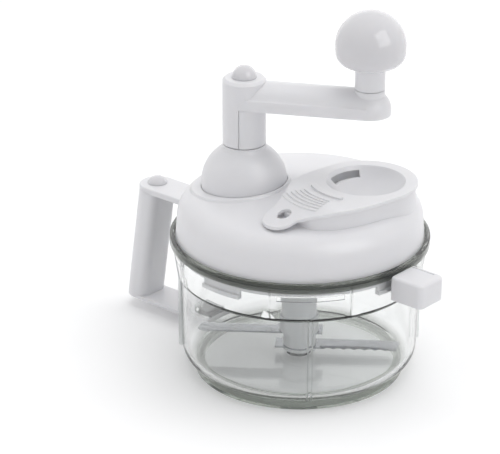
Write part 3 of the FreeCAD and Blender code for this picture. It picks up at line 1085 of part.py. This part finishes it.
def separator():
    """Lift-out separator: teardrop plate with a ramped thumb tab, and a slotted cup."""
    thick = value("plate_thick")
    top = value("seat_top") + thick
    plate = teardrop(0.0, value("lid_low"), top + 20).common(ramp_slab(0.05, thick))
    under = crown_shape(value("seat_gap"))
    under.translate(Vector(-value("cup_x"), -value("cup_y"), 0))
    under.rotate(Vector(0, 0, 0), Vector(0, 0, 1), -value("tab_angle"))
    plate = plate.cut(under)
    radius, wall, depth = value("cup_radius"), value("cup_wall"), value("cup_depth")

    def cap_of_ball(mouth, deep, lift):
        ball = (mouth ** 2 + deep ** 2) / (2 * deep)
        solid = Part.makeSphere(ball, Vector(0, 0, top + lift - deep + ball))
        keep = Part.makeCylinder(mouth + 5, deep + 5, Vector(0, 0, top + lift - deep - 5))
        return solid.common(keep.cut(Part.makeCylinder(mouth + 6, 20, Vector(0, 0, top + lift))))

    inner = cap_of_ball(radius, depth, 0.0)
    outer = cap_of_ball(radius + wall, depth + wall, 0.0)
    plate = plate.fuse(outer).cut(inner)
    tall = value("slot_tall")
    band = Part.makeCylinder(radius + 4, tall, Vector(0, 0, top - value("slot_low") - tall))
    band = band.cut(Part.makeCylinder(radius - 9, 20, Vector(0, 0, top - 15)))
    half = value("slot_half_angle")
    for middle in (value("slot_angle"), value("slot_angle") + 180):
        wedge = Part.makeCylinder(60, 60, Vector(0, 0, top - 40), Vector(0, 0, 1), 2 * half)
        wedge.rotate(Vector(0, 0, 0), Vector(0, 0, 1), middle - half - value("tab_angle"))
        plate = plate.cut(band.common(wedge))
    plate = plate.cut(Part.makeCylinder(value("hole_radius"), 60, Vector(value("tab_distance"), 0, top - 40)))
    bar = arc_bar(radius + value("bar_gap"), value("bar_wide"), value("bar_half_angle"), value("bar_rise"))
    plate = plate.fuse(bar)
    for i in range(int(value("thumb_count"))):
        reach = radius + value("rib_gap") + i * value("thumb_pitch")
        plate = plate.fuse(arc_bar(reach, value("thumb_rib"), value("thumb_half_angle"), value("thumb_rise")))
    form = place(made("separator_form", plate.removeSplitter()), ("cup_x", "cup_y", "0"), "tab_angle")
    node(join("separator_set", form), "separator_insert", lid=True)


# ---------------------------------------------------------------- build and write

for make in (bowl, centre_pin, handle, handle_cap, side_lug, drive_gear, pinion, crank_shaft, lid_shell,
             gear_cover, bushes, bearing_dome, crank_post, crank_arm, crank_fixings, knob, hub_parts,
             blades, separator):
    make()
doc.recompute()

for obj in doc.Objects:
    if "Invalid" in obj.State or "Error" in obj.State:
        raise RuntimeError("failed feature: " + obj.Name)
os.makedirs("parts", exist_ok=True)
for name, obj in NODES:
    shape = obj.Shape
    if shape.isNull() or not shape.isValid() or not shape.Solids:
        raise RuntimeError("bad shape: " + name)
    shape.exportStep("parts/%s.step" % name)
    print(name, len(shape.Solids), round(shape.Volume))
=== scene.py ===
"""Looks of the crank food chopper: clear bowl, white plastic, polished knob, steel blades.

Lengths are metres in the part's own frame: +Z up, the bowl's axis on Z, the D handle on -X.
"""

import json
import math

import bpy
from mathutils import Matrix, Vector

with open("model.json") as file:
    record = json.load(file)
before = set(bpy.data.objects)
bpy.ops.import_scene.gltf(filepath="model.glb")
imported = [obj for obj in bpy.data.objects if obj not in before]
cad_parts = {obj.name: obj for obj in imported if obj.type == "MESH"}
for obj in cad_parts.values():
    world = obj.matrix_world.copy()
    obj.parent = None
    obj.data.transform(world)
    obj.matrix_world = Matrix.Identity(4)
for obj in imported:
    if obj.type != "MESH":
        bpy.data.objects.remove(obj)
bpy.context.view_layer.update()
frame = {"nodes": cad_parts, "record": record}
nodes = frame["nodes"]

# ---------------------------------------------------------------- camera and studio

VIEW_TURN = math.radians(41.0)       # the object is turned by this to the camera
VIEW_FALL = math.radians(23.9)       # the camera looks down by this
VIEW_AWAY = 1.8                      # from the camera to the point it looks at
AIM = (-0.0356, 0.0, 0.104)          # that point, in the camera's upright frame
LENS = 181.5                         # millimetres, on a sensor 36 mm wide
SHIFT_UP = 0.0076                    # share of the frame's width
LAMP_CENTRE = (0.0, 0.0, 0.15)       # the softboxes face this point


def turned_point(x, y, z):
    """Turns a point from the camera's upright frame to the part's frame, about Z."""
    c, s = math.cos(VIEW_TURN), math.sin(VIEW_TURN)
    return Vector((x * c - y * s, x * s + y * c, z))


def set_camera():
    """A long lens that looks down on the lid, from between +X, the lug's side, and -Y."""
    lens = bpy.data.cameras.new("studio_camera")
    lens.sensor_width = 36.0
    lens.lens = LENS
    lens.shift_y = SHIFT_UP
    lens.clip_start = 0.05
    camera = bpy.data.objects.new("studio_camera", lens)
    bpy.context.scene.collection.objects.link(camera)
    back = turned_point(0.0, -math.cos(VIEW_FALL), math.sin(VIEW_FALL))
    camera.location = turned_point(*AIM) + back * VIEW_AWAY
    camera.rotation_euler = (-back).to_track_quat("-Z", "Y").to_euler()
    bpy.context.scene.camera = camera


def sun(name, aim_from, strength, spread):
    """A wide soft lamp with no glint, from a direction of the camera's upright frame."""
    lamp = bpy.data.lights.new(name, "SUN")
    lamp.energy = strength
    lamp.angle = math.radians(spread)
    shown = bpy.data.objects.new(name, lamp)
    shown.visible_glossy = False
    bpy.context.scene.collection.objects.link(shown)
    shown.rotation_euler = turned_point(*aim_from).to_track_quat("Z", "Y").to_euler()


def softbox(name, aim_from, away, size, watts):
    """A window that shows only on gloss, from a direction of the camera's upright frame."""
    lamp = bpy.data.lights.new(name, "AREA")
    lamp.shape = "RECTANGLE"
    lamp.size, lamp.size_y = size
    lamp.energy = watts
    shown = bpy.data.objects.new(name, lamp)
    shown.visible_diffuse = shown.visible_transmission = shown.visible_camera = False
    bpy.context.scene.collection.objects.link(shown)
    direction = turned_point(*aim_from).normalized()
    shown.location = Vector(LAMP_CENTRE) + direction * away
    shown.rotation_euler = direction.to_track_quat("Z", "Y").to_euler()


# ---------------------------------------------------------------- node-tree helpers

def put(tree, kind, sockets=None, **settings):
    """Adds a node; a socket is set to a value, or linked when it is given an output."""
    node = tree.nodes.new(kind)
    for name, setting in settings.items():
        setattr(node, name, setting)
    for name, source in (sockets or {}).items():
        if isinstance(source, bpy.types.NodeSocket):
            tree.links.new(source, node.inputs[name])
        else:
            node.inputs[name].default_value = source
    return node


def combined(tree, a, b, operation="ADD"):
    """Two values put together by a Math node, which adds them unless told otherwise."""
    return put(tree, "ShaderNodeMath", {0: a, 1: b}, operation=operation).outputs[0]


def product(tree, *values):
    """The product of two or more values."""
    total = values[0]
    for value in values[1:]:
        total = combined(tree, total, value, "MULTIPLY")
    return total


def ramp(tree, value, span, onto=(0.0, 1.0)):
    """Maps a value from one span onto another and holds it there; both may run downwards."""
    sockets = {"Value": value, "From Min": span[0], "From Max": span[1],
               "To Min": onto[0], "To Max": onto[1]}
    return put(tree, "ShaderNodeMapRange", sockets).outputs["Result"]


def noise(tree, place, scale, detail, **others):
    """Noise between 0 and 1 over a place, with other sockets set by their names."""
    sockets = {"Vector": place, "Scale": scale, "Detail": detail, **others}
    return put(tree, "ShaderNodeTexNoise", sockets).outputs["Fac"]


def tinted(tree, share, a, b, blend_type="MIX"):
    """Two colours mixed by a share, which is 0 for the first and 1 for the second."""
    node = put(tree, "ShaderNodeMix", data_type="RGBA", blend_type=blend_type)
    for name, source in (("Factor", share), ("A", a), ("B", b)):
        kind = "VALUE" if name == "Factor" else "RGBA"
        socket = [s for s in node.inputs if s.name == name and s.type == kind][0]
        if isinstance(source, bpy.types.NodeSocket):
            tree.links.new(source, socket)
        else:
            socket.default_value = source
    return [s for s in node.outputs if s.type == "RGBA"][0]


def effect(name, ins, outs):
    """A shader node group with named inputs and outputs."""
    tree = bpy.data.node_groups.new(name, "ShaderNodeTree")
    for socket, kind, default in ins:
        made = tree.interface.new_socket(socket, in_out="INPUT", socket_type="NodeSocket" + kind)
        made.default_value = default
    for socket, kind in outs:
        tree.interface.new_socket(socket, in_out="OUTPUT", socket_type="NodeSocket" + kind)
    return tree, tree.nodes.new("NodeGroupInput").outputs, tree.nodes.new("NodeGroupOutput").inputs


def moulded_skin():
    """Injection-moulded skin: faint flow mottle, orange peel, fine scuffs, soft edges and a painted
    highlight along them.
    """
    tree, given, out = effect("moulded_skin", [
        ("Tint", "Color", (0.8, 0.8, 0.8, 1.0)), ("Mottle", "Float", 0.03), ("Haze", "Float", 0.25),
        ("Scuffs", "Float", 0.1), ("Peel", "Float", 0.2), ("Edge Round", "Float", 0.0005)],
        [("Color", "Color"), ("Roughness", "Float"), ("Normal", "Vector")])
    place = tree.nodes.new("ShaderNodeTexCoord").outputs["Object"]
    flow = noise(tree, place, scale=22.0, detail=3.0, Distortion=0.6)
    shade = ramp(tree, flow, (0.3, 0.7))
    dark = tinted(tree, given["Mottle"], given["Tint"], (0.35, 0.36, 0.4, 1.0), "MULTIPLY")
    colour = tinted(tree, shade, given["Tint"], dark)
    bevel = put(tree, "ShaderNodeBevel", {"Radius": given["Edge Round"]}, samples=6)
    soft = bevel.outputs["Normal"]
    flat = tree.nodes.new("ShaderNodeNewGeometry").outputs["Normal"]
    # Where the rounded normal turns from the flat one, the colour is mixed towards a paler white: a
    # painted highlight along the edges, which also get a little rougher.
    along = put(tree, "ShaderNodeVectorMath", {0: soft, 1: flat},
                operation="DOT_PRODUCT").outputs["Value"]
    edge = ramp(tree, along, (0.995, 0.9), (0.0, 0.35))
    colour = tinted(tree, edge, colour, tinted(tree, 0.5, given["Tint"], (0.92, 0.92, 0.93, 1.0)))
    tree.links.new(colour, out["Color"])

    stretched = put(tree, "ShaderNodeMapping", {"Vector": place, "Scale": (1.0, 6.0, 1.6)})
    scuff = noise(tree, stretched.outputs[0], scale=160.0, detail=4.0,
                  Roughness=0.65, Distortion=1.2)
    lines = ramp(tree, scuff, (0.56, 0.72))
    rough = combined(tree, given["Haze"], product(tree, lines, given["Scuffs"]))
    rough = combined(tree, rough, product(tree, edge, 0.1))
    tree.links.new(rough, out["Roughness"])

    peel = noise(tree, place, scale=420.0, detail=2.0)
    bump = put(tree, "ShaderNodeBump", {
        "Strength": given["Peel"], "Distance": 0.0001, "Height": peel, "Normal": soft})
    tree.links.new(bump.outputs["Normal"], out["Normal"])
    return tree


def ground_steel():
    """Ground steel: fine grinding lines along one direction and faint stains."""
    tree, given, out = effect("ground_steel", [
        ("Tint", "Color", (0.6, 0.6, 0.62, 1.0)), ("Line Stretch", "Vector", (0.05, 1.0, 1.0)),
        ("Turn", "Float", 0.0), ("Haze", "Float", 0.25), ("Depth", "Float", 0.25)],
        [("Color", "Color"), ("Roughness", "Float"), ("Normal", "Vector")])
    place = tree.nodes.new("ShaderNodeTexCoord").outputs["Object"]
    turn = put(tree, "ShaderNodeCombineXYZ", {"Z": given["Turn"]}).outputs[0]
    turned = put(tree, "ShaderNodeMapping", {"Vector": place, "Rotation": turn}).outputs[0]
    along = put(tree, "ShaderNodeVectorMath", {0: turned, 1: given["Line Stretch"]},
                operation="MULTIPLY").outputs[0]
    lines = noise(tree, along, scale=1500.0, detail=3.0)
    stain = noise(tree, place, scale=55.0, detail=3.0)
    tone = ramp(tree, lines, (0.3, 0.7), (0.72, 1.0))
    tone = combined(tree, tone, ramp(tree, stain, (0.35, 0.7), (0.0, -0.08)))
    grey = put(tree, "ShaderNodeCombineColor", {"Red": tone, "Green": tone, "Blue": tone})
    colour = tinted(tree, 1.0, given["Tint"], grey.outputs[0], "MULTIPLY")
    tree.links.new(colour, out["Color"])
    rough = combined(tree, given["Haze"], ramp(tree, lines, (0.3, 0.7), (0.1, -0.04)))
    rough = combined(tree, rough, ramp(tree, stain, (0.4, 0.75), (0.0, 0.12)))
    tree.links.new(rough, out["Roughness"])
    bump = put(tree, "ShaderNodeBump", {
        "Strength": given["Depth"], "Distance": 0.00005, "Height": lines})
    tree.links.new(bump.outputs["Normal"], out["Normal"])
    return tree


def finish_material(name, group, look, sockets):
    """A Principled material that reads its colour, roughness and normal from a group."""
    material = bpy.data.materials.new(name)
    material.use_nodes = True
    tree = material.node_tree
    shader = tree.nodes["Principled BSDF"]
    for socket, setting in sockets.items():
        shader.inputs[socket].default_value = setting
    surface = put(tree, "ShaderNodeGroup", node_tree=group)
    for socket, setting in look.items():
        surface.inputs[socket].default_value = setting
    for source, target in (("Color", "Base Color"), ("Roughness", "Roughness"),
                           ("Normal", "Normal")):
        tree.links.new(surface.outputs[source], shader.inputs[target])
    return material


def white_moulding(group, name, tint, haze, scuffs=0.08, peel=0.12, edge=0.0006, deep=0.5):
    """Moulded plastic that lets light sink in a little; edge is its edges' rounding in metres."""
    look = {"Tint": tint + (1.0,), "Mottle": 0.05, "Haze": haze, "Scuffs": scuffs, "Peel": peel,
            "Edge Round": edge}
    return finish_material(name, group, look, {
        "IOR": 1.5, "Subsurface Weight": deep, "Subsurface Scale": 0.003,
        "Subsurface Radius": (1.0, 0.95, 0.9)})


# Where the bowl's tints and painted shading begin and where they are full, in metres: heights,
# distances from the bowl's axis (RING) and distances from the middle plane of the nearest rib
# (FROM).
RIM_HEIGHTS = (0.0958, 0.0978)
FOOT_HEIGHTS, FOOT_RING = (0.0105, 0.0065), (0.0685, 0.0695)
STEP_FROM_BELOW, STEP_FROM_ABOVE = (0.0722, 0.0736), (0.0762, 0.0748)
RIB_FROM_WITHIN, RIB_FROM_OUTSIDE = (0.0010, 0.0013), (0.0020, 0.0017)
RIB_RING, RIB_HEIGHTS = (0.0775, 0.0785), (0.0722, 0.0715)

CLEAR_WALL = (0.958, 0.966, 0.963, 1.0)
# The rim and the foot ring: a slight grey-green tint of thick plastic, darkened much further by
# painted shade.
RIM_TINT_AND_SHADE = (0.185, 0.202, 0.176, 1.0)
FOOT_TINT_AND_SHADE = (0.38, 0.405, 0.37, 1.0)
# Grey painted shade lines at the step and along both edges of each rib, where the clear plastic
# bends light.
STEP_SHADE_LINE = (0.72, 0.76, 0.74, 1.0)
RIB_SHADE_LINES = (0.80, 0.82, 0.81, 1.0)
LAMP_THROUGH = (0.93, 0.94, 0.935, 1.0)


def clear_moulding():
    """Clear bowl plastic: water-clear wall; the thick rim and foot ring get a slight grey-green
    tint and painted dark shade, the step and ribs painted grey lines.
    """
    material = bpy.data.materials.new("clear_bowl_plastic")
    material.use_nodes = True
    tree = material.node_tree
    shader = tree.nodes["Principled BSDF"]
    shader.inputs["Transmission Weight"].default_value = 1.0
    shader.inputs["IOR"].default_value = 1.5
    place = tree.nodes.new("ShaderNodeTexCoord").outputs["Object"]
    across, along, height = put(tree, "ShaderNodeSeparateXYZ", {"Vector": place}).outputs
    level = put(tree, "ShaderNodeVectorMath", {0: place, 1: (1.0, 1.0, 0.0)},
                operation="MULTIPLY").outputs[0]
    out_by = put(tree, "ShaderNodeVectorMath", {0: level}, operation="LENGTH").outputs["Value"]

    rim = ramp(tree, height, RIM_HEIGHTS)
    foot = product(tree, ramp(tree, height, FOOT_HEIGHTS), ramp(tree, out_by, FOOT_RING))
    # The step's band and the ribs' edge lines are painted shade; the ribs are also made a little
    # rougher.
    step = product(tree, ramp(tree, height, STEP_FROM_BELOW), ramp(tree, height, STEP_FROM_ABOVE))
    # The ribs' middle planes are x = y and x = -y: a point is |x - y| / sqrt(2) and
    # |x + y| / sqrt(2) away from them.
    apart = [combined(tree, combined(tree, across, along, way), 0.0, "ABSOLUTE")
             for way in ("ADD", "SUBTRACT")]
    near = product(tree, combined(tree, *apart, "MINIMUM"), math.sqrt(0.5))
    rib = product(tree, ramp(tree, near, RIB_FROM_WITHIN), ramp(tree, near, RIB_FROM_OUTSIDE),
                  ramp(tree, out_by, RIB_RING), ramp(tree, height, RIB_HEIGHTS))
    # The rim and the foot take their tint and painted shade; the step and the ribs' edges take
    # painted grey shade lines.
    colour = tinted(tree, rim, CLEAR_WALL, RIM_TINT_AND_SHADE)
    for share, tint in ((foot, FOOT_TINT_AND_SHADE), (step, STEP_SHADE_LINE), (rib, RIB_SHADE_LINES)):
        colour = tinted(tree, share, colour, tint)
    tree.links.new(colour, shader.inputs["Base Color"])

    scuff = noise(tree, place, scale=90.0, detail=4.0)
    haze = ramp(tree, scuff, (0.45, 0.75), (0.015, 0.07))
    tree.links.new(combined(tree, haze, product(tree, rib, 0.3)), shader.inputs["Roughness"])
    ripple = noise(tree, place, scale=30.0, detail=1.0)
    bump = put(tree, "ShaderNodeBump", {"Strength": 0.05, "Distance": 0.0002, "Height": ripple})
    tree.links.new(bump.outputs["Normal"], shader.inputs["Normal"])

    lamp_ray = tree.nodes.new("ShaderNodeLightPath").outputs["Is Shadow Ray"]
    through = put(tree, "ShaderNodeBsdfTransparent", {"Color": LAMP_THROUGH}).outputs[0]
    both = put(tree, "ShaderNodeMixShader", {0: lamp_ray, 1: shader.outputs[0], 2: through})
    tree.links.new(both.outputs[0], tree.nodes["Material Output"].inputs["Surface"])
    return material


# ---------------------------------------------------------------- smooth skins of the CAD pieces

def smooth_skin_group():
    """Joins a node's loose triangles and shades it smooth wherever faces meet at a small angle."""
    tree = bpy.data.node_groups.new("joined_smooth_skin", "GeometryNodeTree")
    tree.interface.new_socket("Geometry", in_out="INPUT", socket_type="NodeSocketGeometry")
    limit = tree.interface.new_socket("Crease", in_out="INPUT", socket_type="NodeSocketFloat")
    limit.default_value = math.radians(30.0)
    tree.interface.new_socket("Geometry", in_out="OUTPUT", socket_type="NodeSocketGeometry")
    given = tree.nodes.new("NodeGroupInput").outputs
    joined = put(tree, "GeometryNodeMergeByDistance", {
        "Geometry": given["Geometry"], "Distance": 2e-6})
    faces = put(tree, "GeometryNodeSetShadeSmooth", {
        "Geometry": joined.outputs[0], "Shade Smooth": True}, domain="FACE")
    bend = tree.nodes.new("GeometryNodeInputMeshEdgeAngle").outputs["Unsigned Angle"]
    gentle = put(tree, "FunctionNodeCompare", {0: bend, 1: given["Crease"]},
                 operation="LESS_THAN").outputs[0]
    edges = put(tree, "GeometryNodeSetShadeSmooth", {
        "Geometry": faces.outputs[0], "Shade Smooth": gentle}, domain="EDGE")
    tree.links.new(edges.outputs[0], tree.nodes.new("NodeGroupOutput").inputs["Geometry"])
    return tree


# ---------------------------------------------------------------- making

bpy.context.scene.view_settings.view_transform = "Standard"
set_camera()
skin = moulded_skin()
steel_look = ground_steel()
WHITE = (0.784, 0.782, 0.803)
# The lid's and the polished parts' whites are darker copies of WHITE: painted shade that tones
# these parts down under the lamps.
SHADED_LID_WHITE = (0.777, 0.775, 0.796)
SHADED_KNOB_WHITE = (0.715, 0.708, 0.730)
BLADE_TURN = math.radians(217.0)     # the way the blades lie in the part's frame, from +X
finishes = {
    "clear_plastic": clear_moulding(),
    "white_plastic": white_moulding(skin, "white_satin_plastic", WHITE, haze=0.36),
    "hub_plastic": white_moulding(skin, "hub_satin_plastic", (0.60, 0.61, 0.62), haze=0.34),
    "gear_plastic": white_moulding(skin, "gear_natural_plastic", (0.74, 0.74, 0.69), haze=0.38,
                                   edge=0.0002),
    "bush_plastic": white_moulding(skin, "bush_grey_plastic", (0.07, 0.075, 0.085), haze=0.5,
                                   edge=0.0002, deep=0.0),
    "steel": finish_material("turned_steel", steel_look, {
        "Tint": (0.56, 0.57, 0.58, 1.0), "Line Stretch": (0.15, 0.15, 1.0), "Haze": 0.26},
        {"Metallic": 1.0}),
    "blade_steel": finish_material("ground_blade_steel", steel_look, {
        "Tint": (0.47, 0.48, 0.50, 1.0), "Turn": -BLADE_TURN, "Haze": 0.16}, {"Metallic": 1.0}),
}
smooth_skin = smooth_skin_group()
polished = white_moulding(skin, "polished_knob_plastic", SHADED_KNOB_WHITE,
                          haze=0.02, scuffs=0.01, peel=0.0)
smooth_lid = white_moulding(skin, "smooth_lid_plastic", SHADED_LID_WHITE,
                            haze=0.30, scuffs=0.04, peel=0.05, edge=0.0008)
own_finishes = {"knob_ball": polished, "crank_cap": polished, "handle_cap": polished,
                "lid_shell": smooth_lid, "separator_insert": smooth_lid}
slots = {row["node"]: row["material_slot"] for row in frame["record"]["subparts"]}
for name, node in nodes.items():
    node.data.materials.clear()
    node.data.materials.append(own_finishes.get(name, finishes[slots[name]]))
    node.data.polygons.foreach_set("material_index", [0] * len(node.data.polygons))
    node.modifiers.new("joined_smooth_skin", "NODES").node_group = smooth_skin


# ---------------------------------------------------------------- floor, light and world

def shown_rays(tree):
    """1 for rays that come from the eye, from gloss or through glass, and 0 for the rest."""
    path = tree.nodes.new("ShaderNodeLightPath").outputs
    seen = combined(tree, path["Is Camera Ray"], path["Is Glossy Ray"], "MAXIMUM")
    return combined(tree, seen, path["Is Transmission Ray"], "MAXIMUM")


FLOOR_HALF = 6.0                     # half the floor's width in metres
FLOOR_HEIGHT = -0.0001               # just under the foot ring
FLOOR_GLOW = 0.12                    # light that the floor adds for shown rays
WORLD_LIGHT = 0.50                   # the white world's strength for all other rays


def pale_floor():
    """A wide pale floor that keeps the object's shadow."""
    corners = [(x * FLOOR_HALF, y * FLOOR_HALF, FLOOR_HEIGHT)
               for x, y in ((-1, -1), (1, -1), (1, 1), (-1, 1))]
    mesh = bpy.data.meshes.new("studio_floor")
    mesh.from_pydata(corners, [], [(0, 1, 2, 3)])
    floor = bpy.data.objects.new("studio_floor", mesh)
    bpy.context.scene.collection.objects.link(floor)
    material = bpy.data.materials.new("pale_floor")
    material.use_nodes = True
    tree = material.node_tree
    shader = tree.nodes["Principled BSDF"]
    shader.inputs["Roughness"].default_value = 0.75
    shader.inputs["Specular IOR Level"].default_value = 0.2
    place = tree.nodes.new("ShaderNodeTexCoord").outputs["Object"]
    paper = noise(tree, place, scale=3.0, detail=2.0)
    tree.links.new(tinted(tree, paper, (0.93, 0.93, 0.94, 1.0), (0.95, 0.95, 0.955, 1.0)),
                   shader.inputs["Base Color"])
    shader.inputs["Emission Color"].default_value = (1.0, 1.0, 1.0, 1.0)
    tree.links.new(product(tree, shown_rays(tree), FLOOR_GLOW), shader.inputs["Emission Strength"])
    mesh.materials.append(material)


def white_world():
    """White for shown rays, and a dimmer even light for all others."""
    world = bpy.data.worlds.new("white_studio")
    bpy.context.scene.world = world
    world.use_nodes = True
    tree = world.node_tree
    tree.nodes.clear()
    strength = ramp(tree, shown_rays(tree), (0.0, 1.0), (WORLD_LIGHT, 1.0))
    light = put(tree, "ShaderNodeBackground", {"Color": (1.0, 1.0, 1.0, 1.0), "Strength": strength})
    tree.links.new(light.outputs[0], tree.nodes.new("ShaderNodeOutputWorld").inputs["Surface"])


pale_floor()
white_world()
sun("high_back_lamp", (0.20, 0.12, 0.97), strength=1.32, spread=60.0)
sun("left_fill_lamp", (-0.95, -0.10, 0.28), strength=0.50, spread=90.0)
sun("right_fill_lamp", (0.88, -0.38, 0.22), strength=0.53, spread=90.0)
softbox("front_right_softbox", (0.592, -0.545, 0.594), away=1.3, size=(0.90, 1.05), watts=7.8)
softbox("back_softbox", (0.05, 0.95, 0.32), away=1.6, size=(2.6, 0.9), watts=2.4)
